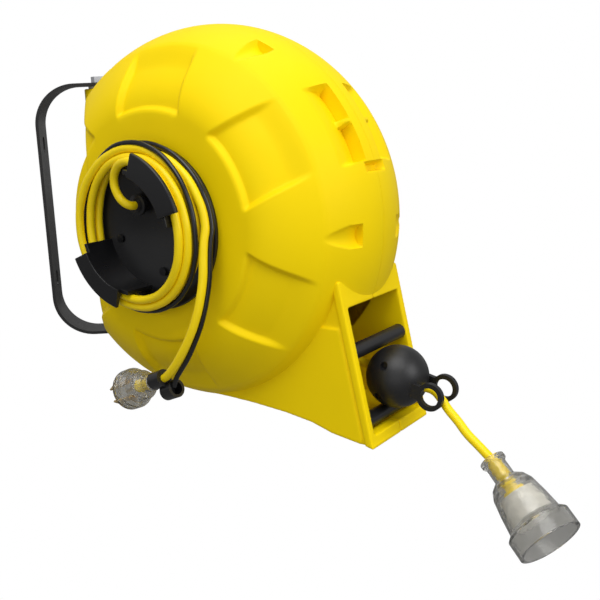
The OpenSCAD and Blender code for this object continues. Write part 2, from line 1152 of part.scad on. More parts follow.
module socket_contacts() {
    color(brass)
        in_reel()
            in_socket()
                intersection() {
                    socket_slots(8.6, 1.6, 6.6);
                    translate([0, 0, 40])
                        cylinder(r = 20, h = 14);
                }
}

// Sheath and strain relief held in the socket's neck.
module socket_sleeve() {
    color(yellow)
        in_reel()
            in_socket()
                z_turn([
                    [0, 0], [cord_r, 0], [cord_r + 2.2, 1], [cord_r + 2.2, 18],
                    [cord_r + 2, 24], [9, 30], [9, 34.6], [0, 34.6]
                ]);
}

module socket_screws() {
    color(steel)
        in_reel()
            in_socket()
                translate([0, 0, insert_z])
                    cylinder(r = socket_screw_r, h = face_z - insert_z - 1);
}

// ---- supply lead wound on the hub ----------------------------------------------

module lead_start() {
    color(yellow)
        in_reel()
            tube(start_route, lead_r);
}

module lead_coil() {
    slope = atan2(turn_low[1] - turn_high[1], turn_high[0] - turn_low[0]);
    span = norm(turn_high - turn_low);
    color(yellow)
        in_reel()
            rotate([90, 0, 0])
                rotate_extrude()
                    union() {
                        translate(turn_low)
                            circle(lead_r, $fn = 24);
                        translate(turn_high)
                            circle(lead_r, $fn = 24);
                        translate(turn_low)
                            rotate(-slope)
                                translate([0, 0.3 - lead_r])
                                    square([span, 2 * lead_r - 0.6]);
                    }
}

module lead_tail() {
    color(yellow)
        in_reel()
            tube(tail_route, lead_r);
}

module tie_cord() {
    color(black)
        in_reel()
            tube(tie_route, tie_d / 2);
}

// Double clip: one barrel grips the lead behind the plug, the other ends the elastic cord.
module cord_clip() {
    color(black)
        in_reel()
            in_plug()
                difference() {
                    union() {
                        translate([0, 0, -16])
                            cylinder(r = 7.5, h = 15);
                        translate(clip_barrel)
                            cylinder(r = 8, h = 14);
                    }
                    translate([0, 0, -16 - over])
                        cylinder(r = lead_r, h = 15 + 2 * over);
                    translate(clip_barrel - [0, 0, over])
                        cylinder(r = 5.5, h = 10 + over);
                }
}

module plug_body() {
    color(clear)
        in_reel()
            in_plug()
                z_turn([
                    [lead_r + 2, 0], [8, 0], [8, 8], [13, 14], [14, 24], [16, 26],
                    [17.8, 28], [17.8, 34], [15.6, 34], [15.6, 28.5], [11.8, 24],
                    [10.8, 15], [lead_r + 2, 10]
                ]);
}

module plug_cover() {
    color(clear)
        in_reel()
            in_plug()
                difference() {
                    union() {
                        translate([0, 0, 34])
                            cylinder(r = 17.8, h = 3);
                        translate([0, 0, 37])
                            cylinder(r = 14.5, h = 3);
                    }
                    plug_blades(1);
                }
}

module plug_blades(grow = 0) {
    from = blade_z[0] - grow;
    height = blade_z[1] - blade_z[0] + 2 * grow;
    for (angle = [60, -60])
        rotate([0, 0, angle])
            translate([-blade_l / 2, blade_r - blade_w / 2, from])
                cube([blade_l, blade_w, height]);
    translate([-blade_w / 2, -earth_r - blade_l / 2, from])
        cube([blade_w, blade_l, height]);
}

module plug_pins() {
    color(brass)
        in_reel()
            in_plug()
                plug_blades();
}

module plug_sleeve() {
    color(yellow)
        in_reel()
            in_plug()
                z_turn([
                    [0, 0], [lead_r, 0], [lead_r + 1.8, 1], [lead_r + 1.8, 20],
                    [lead_r, 24], [0, 24]
                ]);
}

// ---- pieces -------------------------------------------------------------------

wall_bracket();
pivot_bolts();
pivot_washers();
pivot_nuts();
case_near();
case_far();
case_screws();
pivot_bushes();
spindle();
spring_arbor();
hub_cup();
hub_screws();
lead_gland();
brush_block();
brushes();
brush_springs();
pawl_pin();
pawl_spring();
roller_pins();
spool_near();
spool_far();
spool_core();
spool_bushes();
spool_bolts();
wound_cord();
spring_drum();
drum_cover();
mainspring();
ratchet_ring();
slip_drum();
slip_rings();
ratchet_pawl();
roller_upper();
roller_lower();
cord_run();
ball_near();
ball_far();
ball_screws();
out_cord();
socket_body();
socket_insert();
socket_contacts();
socket_sleeve();
socket_screws();
lead_start();
lead_coil();
lead_tail();
tie_cord();
cord_clip();
plug_body();
plug_cover();
plug_pins();
plug_sleeve();
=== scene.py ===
"""Looks of the spring-rewind extension cord reel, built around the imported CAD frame.

Shapes of the reel are worked out in millimetres in the reel's own frame (hub axis along Y, cord
mouth towards +X, supply lead on the -Y side). TO_ROW puts them in the row frame, in metres.
"""

import math

import bmesh
import bpy
import numpy as np
from mathutils import Matrix, Vector


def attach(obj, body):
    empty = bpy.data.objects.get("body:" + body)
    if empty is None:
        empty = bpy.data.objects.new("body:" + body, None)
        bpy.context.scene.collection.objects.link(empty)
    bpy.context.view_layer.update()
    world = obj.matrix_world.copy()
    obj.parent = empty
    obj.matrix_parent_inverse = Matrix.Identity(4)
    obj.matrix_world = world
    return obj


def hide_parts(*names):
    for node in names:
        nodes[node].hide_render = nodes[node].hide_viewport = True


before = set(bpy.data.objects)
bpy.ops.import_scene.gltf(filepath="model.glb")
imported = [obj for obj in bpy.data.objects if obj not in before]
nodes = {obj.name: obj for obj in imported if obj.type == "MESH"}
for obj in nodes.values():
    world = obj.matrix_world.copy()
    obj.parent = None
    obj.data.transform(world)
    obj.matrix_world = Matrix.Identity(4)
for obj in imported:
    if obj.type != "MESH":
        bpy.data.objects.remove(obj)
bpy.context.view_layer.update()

MM = 0.001
SEAM = 0.15                     # each half stops this far from the seam
BEYOND = 1e3                    # further out than any point of the reel, in millimetres

# ---- places from part.scad, in millimetres and degrees ------------------------------------

PIVOT_X = 64                    # pivot axis from the wall
PIVOT_BACK = 148                # pivot axis behind the hub axis
SWING = math.radians(38)        # angle the reel is turned away from straight ahead
LUG_LOW = 78                    # where each pivot lug starts, from the reel's middle height
LUG_HIGH = 120.4
LUG_R = 16
BUSH_R = 8

RIM_R = 170                     # outer radius at the seam
CROWN = 18                      # drop of the rim from the seam to the crease
CREASE_Y = 61
CREASE_R = RIM_R - CROWN
PAD_R = 98
PAD_Y = 94
WALL = 3
REAR_X = 128                    # flat back of the case
REAR_Y = 38                     # where the flat back turns into its chamfer
CHAMFER_END = (75, 95)          # (x, y) where the chamfer ends
SCREW_ANGLES = (-3, 62, 118, -118)
SCOOP_WALL_Y = 28
SCOOP_TIP_Y = 62
GRIP_ANGLE = 29.5
GRIP_HALF = 36
GRIP_BAR_Y = 12
MOUTH_Y = 42                    # half width of the mouth
MOUTH_TOP = -67
MOUTH_LOW = -172.5
NOSE_TOP = (154, -44)           # (x, z) of both ends of the slanting front
NOSE_TOE = (183, -183)

CORD_D = 7.4
LEAD_D = 7.2
TIE_D = 4.4
BALL_R = 27
BALL_AT = (180, 0, -133)        # the stop ball's centre
CORD_ANGLE = math.radians(13.58)  # slope of the strand down to the ball

HUB_R = 70.5
HUB_Y = 98
HUB_WALL_R = 53
HOOK_HALF = 36                  # half angle of a hook's wall
LIP_HALF = 27                   # half angle of its lip
HOOKS = ((44, 69.5, 139.5), (-131, 66, 131.5))  # angle, lip radius, lip distance from seam
GLAND = (-8, 20)                # (x, z) of the gland
GLAND_R = 6
GLAND_END = 107                 # where the lead leaves the gland, from the seam

START_ROUTE = [
    (-8, -107, 20), (-8.5, -111.5, 20.5), (-12.5, -115, 23.5), (-18, -116.5, 31),
    (-20, -117, 41), (-15, -118.5, 51), (-4, -121, 57), (10, -123, 57),
]
TAIL_ROUTE = [
    (69.5, -109.5, 6), (69.6, -112.5, -6), (69.7, -114.5, -18), (69.8, -116.5, -34),
    (67.8, -119, -51), (63.2, -121, -68), (55.5, -122.3, -85), (45, -122.5, -101),
    (35, -121.7, -113), (27, -120.3, -120.5), (18, -118.5, -125.5), (7.3, -117, -129.2),
]
TIE_ROUTE = [
    (72, -104.3, 5), (72.2, -107.3, -7), (72.3, -109.5, -19), (72.4, -111.5, -35),
    (70.2, -114, -52.5), (65.6, -116, -70.5), (58, -117.5, -88), (48.5, -118, -104),
    (40, -117.8, -115), (34, -117.5, -123), (31, -117.5, -130),
]
BALL_FRONT = (
    BALL_AT[0] + BALL_R * math.cos(CORD_ANGLE), 0, BALL_AT[2] - BALL_R * math.sin(CORD_ANGLE)
)
OUT_ROUTE = [
    (0, 0, 0), (8, 0, -2), (16, -3, -7), (24.5, -8, -13), (35.5, -13.5, -19.5),
    (46.5, -19, -27), (58, -22.5, -34), (70, -25.5, -42),
]

# ---- frames -------------------------------------------------------------------------------


def reel_matrix():
    """From the reel's frame in millimetres to the row frame in metres."""
    swung = Matrix.Rotation(-SWING, 4, "Z")
    return (
        Matrix.Translation((PIVOT_X * MM, 0, 0))
        @ swung
        @ Matrix.Translation((PIVOT_BACK * MM, 0, 0))
        @ Matrix.Scale(MM, 4)
    )


TO_ROW = reel_matrix()


def to_row(point):
    """A point of the reel's frame in the row frame."""
    return TO_ROW @ Vector(point)


def on_reel(radius, angle, y):
    """Point at a radius and an angle above +X about the hub axis."""
    return (radius * math.cos(angle), y, radius * math.sin(angle))


# ---- materials ----------------------------------------------------------------------------


class Shader:
    """A material's node tree, with short calls for the nodes that every finish uses."""

    def __init__(self, name):
        self.material = bpy.data.materials.new(name)
        self.material.use_nodes = True
        self.tree = self.material.node_tree
        self.bsdf = self.tree.nodes["Principled BSDF"]
        self.coords = self.tree.nodes.new("ShaderNodeTexCoord").outputs["Object"]

    def link(self, a, b):
        """Joins an output to an input."""
        self.tree.links.new(a, b)

    def noise(self, scale, detail, stretch=None):
        """Noise in object space, drawn out along an axis where stretch says so."""
        node = self.tree.nodes.new("ShaderNodeTexNoise")
        node.inputs["Scale"].default_value = scale
        node.inputs["Detail"].default_value = detail
        source = self.coords
        if stretch:
            mapping = self.tree.nodes.new("ShaderNodeMapping")
            mapping.inputs["Scale"].default_value = stretch
            self.link(source, mapping.inputs["Vector"])
            source = mapping.outputs["Vector"]
        self.link(source, node.inputs["Vector"])
        return node.outputs["Fac"]

    def ramp(self, factor, low, high):
        """Colour between low and high, over the middle of a noise's range."""
        node = self.tree.nodes.new("ShaderNodeValToRGB")
        for element, place_on_ramp, colour in zip(node.color_ramp.elements, (0.3, 0.7), (low, high)):
            element.position = place_on_ramp
            element.color = colour
        self.link(factor, node.inputs["Fac"])
        return node.outputs["Color"]

    def between(self, factor, low, high):
        """Number between low and high."""
        node = self.tree.nodes.new("ShaderNodeMapRange")
        node.inputs["To Min"].default_value = low
        node.inputs["To Max"].default_value = high
        self.link(factor, node.inputs["Value"])
        return node.outputs["Result"]

    def bump(self, height, strength, distance):
        """Relief on the surface, with its depth in metres."""
        node = self.tree.nodes.new("ShaderNodeBump")
        node.inputs["Strength"].default_value = strength
        node.inputs["Distance"].default_value = distance
        self.link(height, node.inputs["Height"])
        self.link(node.outputs["Normal"], self.bsdf.inputs["Normal"])


def shade(colour, factor):
    """A colour made darker, with an alpha of 1."""
    return tuple(channel * factor for channel in colour) + (1,)


def plastic(name, colour, rough, grain=900, bump=0.12, spread=0.1, specular=0.5):
    """Moulded plastic: fine texture, slow colour drift and uneven gloss."""
    s = Shader(name)
    drift = s.noise(scale=14, detail=3)
    s.link(s.ramp(drift, shade(colour, 1 - spread), shade(colour, 1)), s.bsdf.inputs["Base Color"])
    gloss = s.noise(scale=60, detail=5)
    s.link(s.between(gloss, rough - 0.07, rough + 0.07), s.bsdf.inputs["Roughness"])
    s.bump(s.noise(scale=grain, detail=2), strength=bump, distance=0.0004)
    s.bsdf.inputs["Specular IOR Level"].default_value = specular
    return s.material


def metal(name, colour, rough, brush=(1, 1, 1)):
    """Metal with a brushed or cast grain."""
    s = Shader(name)
    grain = s.noise(scale=400, detail=3, stretch=brush)
    s.link(s.ramp(grain, shade(colour, 0.8), shade(colour, 1)), s.bsdf.inputs["Base Color"])
    gloss = s.noise(scale=90, detail=4)
    s.link(s.between(gloss, rough - 0.08, rough + 0.08), s.bsdf.inputs["Roughness"])
    s.bump(grain, strength=0.08, distance=0.0003)
    s.bsdf.inputs["Metallic"].default_value = 1
    return s.material


def clear_plastic(name, tint, rough, milk):
    """Moulded clear plastic, a little milky, with flow marks that break up what lies behind."""
    s = Shader(name)
    s.bsdf.inputs["Transmission Weight"].default_value = 1 - milk
    s.bsdf.inputs["IOR"].default_value = 1.4
    drift = s.noise(scale=150, detail=3)
    s.link(s.ramp(drift, shade(tint, 0.9), shade(tint, 1)), s.bsdf.inputs["Base Color"])
    gloss = s.noise(scale=80, detail=3)
    s.link(s.between(gloss, rough, rough + 0.12), s.bsdf.inputs["Roughness"])
    s.bump(s.noise(scale=170, detail=2), strength=0.4, distance=0.0016)
    return s.material


case_plastic = plastic(
    "case_yellow", (1.0, 0.725, 0.0015), 0.5, grain=1400, bump=0.05, spread=0.04, specular=0.1
)
cord_yellow = plastic(
    "cord_jacket_yellow", (1.0, 0.74, 0.003), 0.36, grain=500, bump=0.02, spread=0.05, specular=0.3
)
hub_black = plastic("hub_black", (0.007, 0.007, 0.008), 0.3, grain=1100, bump=0.06, spread=0.2)
ball_black = plastic("ball_black", (0.009, 0.009, 0.01), 0.42, grain=1300, bump=0.15, spread=0.25)
roller_black = plastic("roller_black", (0.013, 0.013, 0.014), 0.38, spread=0.25)
tie_black = plastic("tie_cord_black", (0.010, 0.010, 0.011), 0.2, grain=600, bump=0.1, spread=0.3)
dark_plastic = plastic("spool_dark", (0.03, 0.03, 0.033), 0.45, spread=0.2)
white_plastic = plastic("nylon_white", (0.82, 0.80, 0.74), 0.4, spread=0.05)
powder_coat = plastic(
    "bracket_powder_coat", (0.006, 0.006, 0.007), 0.4, grain=1800, bump=0.35, spread=0.3
)
zinc = metal("zinc_plated_steel", (0.62, 0.63, 0.66), 0.32)
spring_steel = metal("spring_steel", (0.35, 0.36, 0.4), 0.3, brush=(1, 1, 30))
brass = metal("brass", (0.76, 0.54, 0.22), 0.25)
bronze = metal("bronze", (0.45, 0.26, 0.12), 0.35)
carbon = plastic("carbon_brush", (0.02, 0.02, 0.02), 0.6, spread=0.3)
clear = clear_plastic("clear_housing", (1.0, 0.99, 0.95), 0.05, milk=0.04)
clear_block = clear_plastic("clear_block", (1.0, 0.98, 0.92), 0.15, milk=0.8)
black_screw = metal("blackened_steel", (0.06, 0.06, 0.065), 0.36)

# The CAD nodes that stay, by finish.
NODES_BY_FINISH = (
    (powder_coat, ("wall_bracket",)),
    (zinc, (
        "pivot_bolts", "pivot_nuts", "case_screws", "spindle", "spring_arbor", "pawl_pin",
        "roller_pins", "spool_bolts", "spring_drum", "drum_cover", "socket_screws",
    )),
    (black_screw, ("hub_screws", "ball_screws")),
    (spring_steel, ("brush_springs", "pawl_spring", "mainspring")),
    (brass, ("slip_rings", "socket_contacts", "plug_pins")),
    (bronze, ("spool_bushes",)),
    (carbon, ("brushes",)),
    (white_plastic, ("pivot_washers", "pivot_bushes", "slip_drum")),
    (dark_plastic, (
        "brush_block", "spool_near", "spool_far", "spool_core", "ratchet_ring", "ratchet_pawl",
    )),
    (roller_black, ("roller_upper", "roller_lower")),
    (ball_black, ("ball_near", "ball_far")),
    (hub_black, ("cord_clip",)),
    (clear, ("socket_body", "plug_body", "plug_cover")),
    (clear_block, ("socket_insert",)),
    (cord_yellow, ("socket_sleeve", "plug_sleeve")),
)
FINISHES = {name: finish for finish, names in NODES_BY_FINISH for name in names}

# ---- mesh helpers -------------------------------------------------------------------------


def new_object(name, vertices, faces, material):
    """Smooth-shaded mesh object."""
    mesh = bpy.data.meshes.new(name)
    mesh.from_pydata([tuple(v) for v in vertices], [], faces)
    mesh.update()
    mesh.polygons.foreach_set("use_smooth", [True] * len(mesh.polygons))
    thing = bpy.data.objects.new(name, mesh)
    bpy.context.collection.objects.link(thing)
    if material:
        mesh.materials.append(material)
    return thing


def face_out(thing):
    """Turns every face of a closed mesh outwards."""
    work = bmesh.new()
    work.from_mesh(thing.data)
    bmesh.ops.recalc_face_normals(work, faces=work.faces)
    work.to_mesh(thing.data)
    work.free()


def drop_loose(thing):
    """Removes the vertices that no face uses."""
    work = bmesh.new()
    work.from_mesh(thing.data)
    loose = [v for v in work.verts if not v.link_faces]
    bmesh.ops.delete(work, geom=loose, context="VERTS")
    work.to_mesh(thing.data)
    work.free()


def baked(thing):
    """Applies the object's modifiers to its mesh."""
    graph = bpy.context.evaluated_depsgraph_get()
    mesh = bpy.data.meshes.new_from_object(thing.evaluated_get(graph))
    thing.modifiers.clear()
    thing.data = mesh
    return thing


def joined(name, parts):
    """One object from several meshes that have no modifiers, with the first one's material."""
    work = bmesh.new()
    for part in parts:
        work.from_mesh(part.data)
    material = parts[0].data.materials[0]
    mesh = bpy.data.meshes.new(name)
    work.to_mesh(mesh)
    work.free()
    for part in parts:
        bpy.data.objects.remove(part)
    mesh.materials.append(material)
    thing = bpy.data.objects.new(name, mesh)
    bpy.context.collection.objects.link(thing)
    return thing


def prism_faces(count):
    """Two ends and the sides of a prism: all of one end's vertices, then all of the other's."""
    faces = [tuple(range(count)), tuple(range(2 * count - 1, count - 1, -1))]
    for i in range(count):
        k = (i + 1) % count
        faces.append((i, k, count + k, count + i))
    return faces


def prism(points, y0, y1):
    """Closed solid from an (x, z) outline in the reel's frame, between two Y positions."""
    vertices = [(x, y, z) for y in (y0, y1) for x, z in points]
    return vertices, prism_faces(len(points))


def gathered(name, solids, material):
    """One mesh from several (vertices, faces) solids."""
    vertices = []
    faces = []
    for points, loops in solids:
        base = len(vertices)
        vertices += points
        faces += [tuple(base + i for i in loop) for loop in loops]
    thing = new_object(name, vertices, faces, material)
    face_out(thing)
    return thing


def arc(radius, start, end, steps):
    """(x, z) points on a circle about the hub axis, between two angles in degrees."""
    angles = [math.radians(start + (end - start) * k / steps) for k in range(steps + 1)]
    return [(radius * math.cos(a), radius * math.sin(a)) for a in angles]


def ring_mesh(profile, start, end, steps):
    """Solid or shell turned about the hub axis from a closed (radius, y) profile, in degrees."""
    full = abs(end - start) >= 360
    count = steps if full else steps + 1
    size = len(profile)
    vertices = []
    for k in range(count):
        angle = math.radians(start + (end - start) * k / steps)
        vertices += [on_reel(r, angle, y) for r, y in profile]
    faces = []
    for k in range(steps):
        here = k * size
        there = ((k + 1) % count) * size
        for i in range(size):
            n = (i + 1) % size
            faces.append((here + i, here + n, there + n, there + i))
    if not full:
        faces.append(tuple(range(size)))
        faces.append(tuple(range((count - 1) * size, count * size)))
    return vertices, faces


def place(thing, body):
    """Moves a mesh made in the reel's frame to the row frame and lets it ride on a body."""
    thing.data.transform(TO_ROW)
    thing.data.update()
    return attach(thing, body)


def soften(thing, width, segments=3, angle=35):
    """Rounds the edges that are sharper than an angle in degrees."""
    bevel = thing.modifiers.new("soft_edges", "BEVEL")
    bevel.width = width
    bevel.segments = segments
    bevel.limit_method = "ANGLE"
    bevel.angle_limit = math.radians(angle)
    bevel.use_clamp_overlap = True
    return thing


def smooth_below(thing, angle):
    """Smooth shading, apart from edges that are sharper than an angle in degrees."""
    thing.data.polygons.foreach_set("use_smooth", [True] * len(thing.data.polygons))
    thing.data.set_sharp_from_angle(angle=math.radians(angle))


def step(value, width):
    """0 below zero, 1 above width, smooth between."""
    t = np.clip(value / width, 0, 1)
    return t * t * (3 - 2 * t)


def soft_min(a, b, k):
    """The smaller of two values, with a rounding of size k where they cross."""
    h = np.clip(0.5 + 0.5 * (b - a) / k, 0, 1)
    return b * (1 - h) + a * h - k * h * (1 - h)


# ---- case: the turned half ----------------------------------------------------------------

# The moulding's relief. Its depths and the curves of its walls are this file's own.
PANEL_HALF = 36
PANEL_DEPTH = 5
PANEL_INNER = 97
PANEL_FADE_R = 134              # a panel runs out between this radius and the crease
PANEL_WALL = 5.5                # width of a panel's sloping sides

SCOOP_DEPTH = 8.5
SCOOP_HALF = 9.5
SCOOP_FLARE = 1.4               # a scoop is full width at 1 / 1.4 of its length
SCOOP_POINT = 0.55              # power by which it widens from its tip
SCOOP_BOWL = 0.6                # power of its hollow section

GRIP_DEPTH = 13
GRIP_EDGE_Y = 41                # the pocket runs out here
GRIP_RAMP = 1.15                # power of its floor's slope
GRIP_WALL = 2.5                 # width of its end walls
GRIP_RIB_HALF = 3.4             # the rib that parts the pocket in two
GRIP_RIB_WALL = 1.4
GRIP_RIB_Y = 25                 # where the rib ends
GRIP_RIB_FADE = 6

NOTCH_ANGLE = 15.5
NOTCH_DEPTH = 7
NOTCH_HALF = 4.2
NOTCH_WALL = 1.6
NOTCH_FADE = 3

REAR_SOFT = 4                   # rounding where the flat back meets the dome
REAR_INNER = 60                 # inside this radius the flat back cuts nothing
REAR_FACING = 0.05              # smallest cosine towards the back that it cuts
MOUTH_BACK_X = 95               # the drum is open from here to the mouth
MOUTH_RIM = 3                   # what the opening leaves in front and below

DRUM_STEPS = 840                # points round the drum

NOSE_SLANT = (NOSE_TOE[0] - NOSE_TOP[0]) / (NOSE_TOP[1] - NOSE_TOE[1])


def turned_profile():
    """(radius, y) points of a half's outside, from the seam over the crease and dome to the pad."""
    # Rows stand close on both sides of the grip's bar and of the scoops' wall, which are steep.
    crown_y = np.concatenate([
        np.linspace(SEAM, GRIP_BAR_Y - 0.3, 10),
        np.linspace(GRIP_BAR_Y + 0.6, SCOOP_WALL_Y - 0.4, 13),
        np.linspace(SCOOP_WALL_Y + 0.6, CREASE_Y - 1.5, 26),
    ])
    crown = [(RIM_R - CROWN * (y / CREASE_Y) ** 2, y) for y in crown_y]
    rounding = [(CREASE_R - 0.35, CREASE_Y - 0.1)]
    dome = []
    for t in np.linspace(0.025, 1, 62):
        dome.append((
            CREASE_R - (CREASE_R - PAD_R) * t,
            CREASE_Y + (PAD_Y - CREASE_Y) * math.sin(math.pi / 2 * t),
        ))
    pad = [(r, PAD_Y) for r in np.linspace(PAD_R - 3, 14, 16)]
    return np.array(crown + rounding + dome + pad)


def sideways(radius, angle, centre):
    """Distance across a feature that is centred on an angle in degrees."""
    turn = (angle - math.radians(centre) + math.pi) % (2 * math.pi) - math.pi
    return np.where(np.abs(turn) < math.pi / 2, radius * np.sin(turn), BEYOND)


def panel_sink(radius, angle):
    """Depth of the six panels that are sunk in the dome."""
    sunk = np.zeros_like(radius)
    fade = 1 - step(radius - PANEL_FADE_R, CREASE_R + 1 - PANEL_FADE_R)
    for centre in range(30, 390, 60):
        across = np.abs(sideways(radius, angle, centre))
        inside = step(PANEL_HALF - across, PANEL_WALL) * step(radius - PANEL_INNER, PANEL_WALL)
        sunk = np.maximum(sunk, PANEL_DEPTH * inside * fade)
    return sunk


def scoop_sink(radius, angle, y):
    """Depth of the pointed scoops, which end in a steep wall over a case screw."""
    sunk = np.zeros_like(radius)
    along = np.clip((SCOOP_TIP_Y - y) / (SCOOP_TIP_Y - SCOOP_WALL_Y), 0, 1)
    # The added hundredth keeps the width above zero at the tip.
    half = SCOOP_HALF * np.minimum(SCOOP_FLARE * along, 1) ** SCOOP_POINT + 0.01
    for centre in SCREW_ANGLES:
        across = sideways(radius, angle, centre)
        bowl = np.clip(1 - (across / half) ** 2, 0, 1) ** SCOOP_BOWL
        sunk = np.maximum(sunk, np.where(y > SCOOP_WALL_Y, SCOOP_DEPTH * along * bowl, 0))
    return sunk


def grip_sink(radius, angle, y):
    """Depth of the finger pocket beside the carry grip's bar."""
    across = np.abs(sideways(radius, angle, GRIP_ANGLE))
    ramp = np.clip((GRIP_EDGE_Y - y) / (GRIP_EDGE_Y - GRIP_BAR_Y), 0, 1) ** GRIP_RAMP
    pocket = GRIP_DEPTH * ramp * step(GRIP_HALF - across, GRIP_WALL) * (y > GRIP_BAR_Y)
    rib = step(GRIP_RIB_HALF - across, GRIP_RIB_WALL) * step(GRIP_RIB_Y - y, GRIP_RIB_FADE)
    return pocket * (1 - rib)


def notch_sink(radius, angle, y):
    """Depth of the small notch in the rim below the grip."""
    across = np.abs(sideways(radius, angle, NOTCH_ANGLE))
    beside = step(NOTCH_HALF - across, NOTCH_WALL)
    return NOTCH_DEPTH * beside * step(GRIP_BAR_Y + NOTCH_FADE - y, NOTCH_FADE)


def flat_back(radius, angle, y):
    """The radius, where the flat back and its chamfer leave less of it."""
    run = (REAR_X - CHAMFER_END[0]) / (CHAMFER_END[1] - REAR_Y)
    back = np.minimum(REAR_X, REAR_X - run * (y - REAR_Y))
    behind = -np.cos(angle)
    limit = np.where(behind > REAR_FACING, back / np.maximum(behind, REAR_FACING), BEYOND)
    return np.where(radius > REAR_INNER, soft_min(radius, limit, REAR_SOFT), radius)


def front_x(z):
    """The slanting front at a height."""
    return NOSE_TOP[0] + (NOSE_TOP[1] - z) * NOSE_SLANT


def mouth_opening(x, y, z):
    """Where the drum is open behind the mouth."""
    lengthways = (x > MOUTH_BACK_X) & (x < front_x(z) - MOUTH_RIM)
    upright = (z < MOUTH_TOP) & (z > MOUTH_LOW + MOUTH_RIM)
    return lengthways & upright & (y < MOUTH_Y + 1)


def drum_half():
    """The turned half with its sunk panels, screw scoops, grip pocket and flat back."""
    profile = turned_profile()
    slope = np.gradient(profile, axis=0)
    length = np.hypot(slope[:, 0], slope[:, 1])
    out_r = (slope[:, 1] / length)[:, None]
    out_y = (-slope[:, 0] / length)[:, None]
    angle = np.linspace(0, 2 * math.pi, DRUM_STEPS, endpoint=False)[None, :]
    radius = profile[:, 0][:, None] + 0 * angle
    y = profile[:, 1][:, None] + 0 * angle
    sunk = panel_sink(radius, angle) + scoop_sink(radius, angle, y)
    sunk += grip_sink(radius, angle, y) + notch_sink(radius, angle, y)
    y = y - out_y * sunk
    radius = flat_back(radius - out_r * sunk, angle, y)
    x = radius * np.cos(angle)
    z = radius * np.sin(angle)
    vertices = np.stack([x, -y, z], axis=-1).reshape(-1, 3)
    left_out = mouth_opening(x, y, z)
    faces = []
    for i in range(len(profile) - 1):
        here = i * DRUM_STEPS
        there = here + DRUM_STEPS
        for k in range(DRUM_STEPS):
            n = (k + 1) % DRUM_STEPS
            if not left_out[i, k]:
                faces.append((here + k, here + n, there + n, there + k))
    shell = new_object("drum", vertices, faces, case_plastic)
    drop_loose(shell)
    solid = shell.modifiers.new("wall", "SOLIDIFY")
    solid.thickness = WALL
    solid.offset = -1
    return baked(shell)


# ---- case: pad, nose and lugs -------------------------------------------------------------

NOSE_Y = 46.4                   # outside of the nose's sides
WING_Y = (46, 48.6)             # inside and outside of the raised wing on a side
WING_TOP_Z = -84
FRAME_Y = 49.5                  # outside of the mouth's frame, which is softer than the CAD's
POST_DEPTH = 7.5                # its posts beside the mouth
BAR_DEPTH = 12                  # its bars above and below the mouth
FRAME_INSET = 2                 # how much its back is shorter than its front at each end
LUG_ROOT_X = -118               # where the lugs end inside the drum


def pad_disc():
    """The round pad round the hub, which stands past the chamfers of the flat back."""
    bore = 20
    side = PAD_R - 0.3
    face = -PAD_Y + 0.4
    root = face + 14
    profile = [
        (bore, face), (PAD_R - 2, face), (PAD_R - 0.8, face + 0.5), (side, face + 1.6),
        (side, root), (bore, root),
    ]
    return gathered("pad", [ring_mesh(profile, 0, 360, steps=240)], case_plastic)


def on_front(z, back=0):
    """(x, z) point on the slanting front, or a distance behind it."""
    return (front_x(z) - back, z)


def nose_half():
    """Side, wing, floor and mouth frame on the near side, melted into one soft-edged moulding."""
    floor = [NOSE_TOE, (142, -175.5), (122, -169), (95, -164.5), (60, -161), (30, -159.3), (-5, -158.6)]
    under = [(x, z + WALL) for x, z in reversed(floor)]
    inner = arc(152, -90, -16, steps=14)
    wing_inner = arc(153, -90, -33, steps=11)
    wing = [(153, WING_TOP_Z), (172, -176), (171, -180.5), *floor[1:], *wing_inner, (128, WING_TOP_Z + 1)]
    high = NOSE_TOP[1] - FRAME_INSET
    low = NOSE_TOE[1] + FRAME_INSET
    post = [NOSE_TOP, NOSE_TOE, on_front(low, POST_DEPTH), on_front(high, POST_DEPTH)]
    top_bar = [NOSE_TOP, on_front(MOUTH_TOP), on_front(MOUTH_TOP, BAR_DEPTH), on_front(high, BAR_DEPTH)]
    low_bar = [on_front(MOUTH_LOW), NOSE_TOE, on_front(low, BAR_DEPTH), on_front(MOUTH_LOW, BAR_DEPTH)]
    solids = [
        prism([NOSE_TOP, *floor, *inner], -NOSE_Y, -MOUTH_Y),
        prism(wing, -WING_Y[1], -WING_Y[0]),
        prism([*floor, *under], -NOSE_Y, -SEAM),
        prism(post, -FRAME_Y, -MOUTH_Y),
        prism(top_bar, -MOUTH_Y - 1, -SEAM),
        prism(low_bar, -MOUTH_Y - 1, -SEAM),
    ]
    nose = gathered("nose", solids, case_plastic)
    melt = nose.modifiers.new("melt", "REMESH")
    melt.mode = "VOXEL"
    melt.voxel_size = 0.8
    melt.use_smooth_shade = True
    relax = nose.modifiers.new("relax", "SMOOTH")
    relax.factor = 0.5
    relax.iterations = 14
    return baked(nose)


def lug_outline():
    """(x, y) outline of half a pivot lug with half of the bush's bore, seen from above."""
    steps = 16
    outline = []
    for k in range(steps + 1):
        a = math.radians(90 + 90 * k / steps)
        outline.append((-PIVOT_BACK + LUG_R * math.cos(a), -LUG_R * math.sin(a)))
    outline += [(-PIVOT_BACK - LUG_R, -SEAM), (-PIVOT_BACK - BUSH_R, -SEAM)]
    for k in range(steps + 1):
        a = math.radians(180 - 180 * k / steps)
        outline.append((-PIVOT_BACK + BUSH_R * math.cos(a), -BUSH_R * math.sin(a)))
    outline += [(LUG_ROOT_X, -SEAM), (LUG_ROOT_X, -LUG_R)]
    clear_of_seam = []
    for x, y in outline:
        point = (x, min(y, -SEAM))
        if not clear_of_seam or math.dist(clear_of_seam[-1], point) > 0.05:
            clear_of_seam.append(point)
    return clear_of_seam


